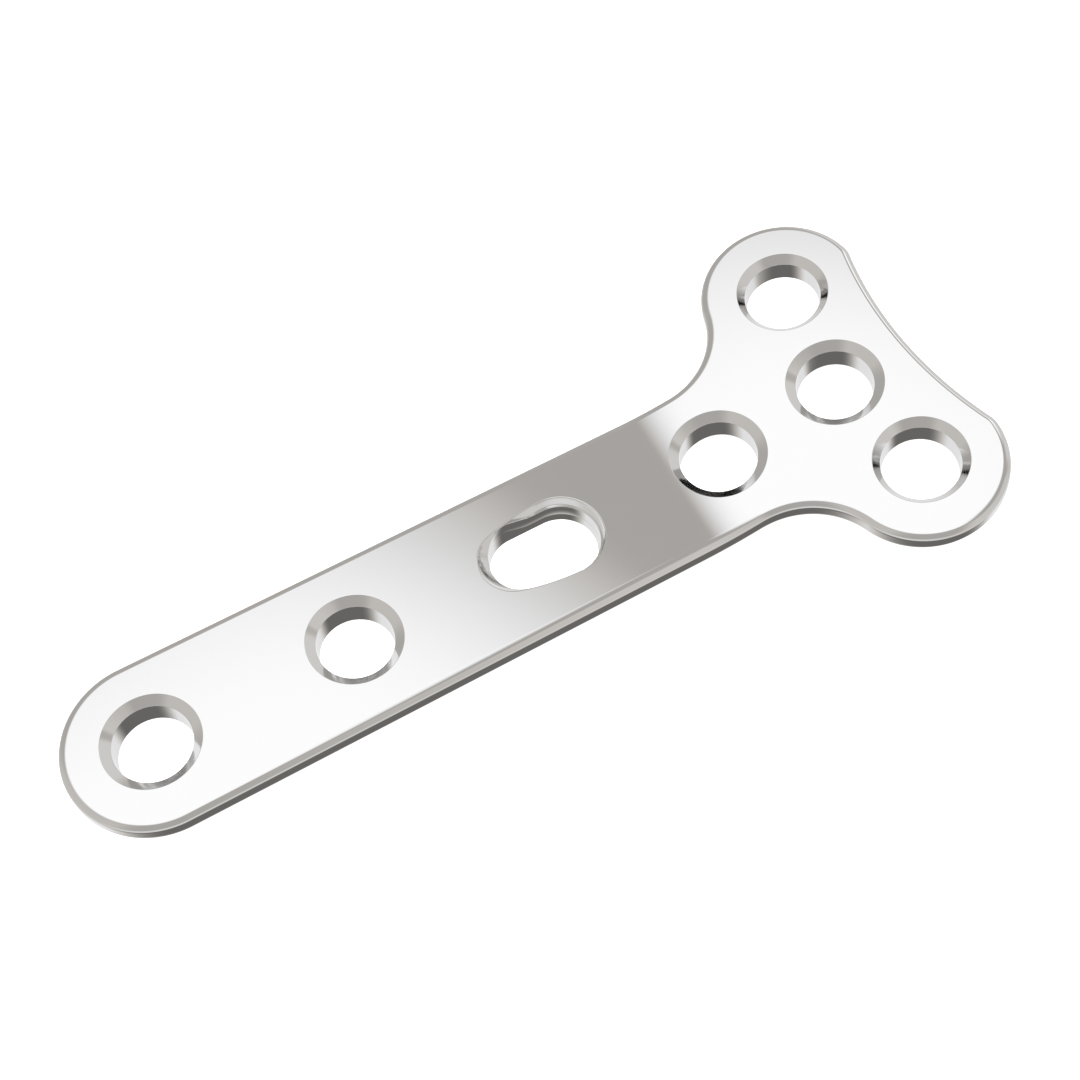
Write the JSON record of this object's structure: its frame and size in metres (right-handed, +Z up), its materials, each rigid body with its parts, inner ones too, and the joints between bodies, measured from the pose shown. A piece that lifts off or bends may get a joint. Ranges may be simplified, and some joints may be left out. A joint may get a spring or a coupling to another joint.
{
  "type": "orthopedic bone plate",
  "caption": "Bent T-shaped bone plate with rounded edges, countersunk screw holes along the shaft and across the head, and an oblong compression hole with an inclined seat.",
  "frame": {"origin": "on the shaft's flat underside, midway between its two round holes nearest the rounded end", "axes": "+X along the shaft from its rounded end to the head, +Z up out of the countersunk face, Y across the shaft; the XZ plane is the plane of symmetry"},
  "size_m": [0.0584, 0.0256, 0.0052],
  "materials": {
    "polished_steel": "mirror-polished stainless steel"
  },
  "bodies": {
    "root": {"bone_plate": "polished_steel"}
  },
  "joints": []
}
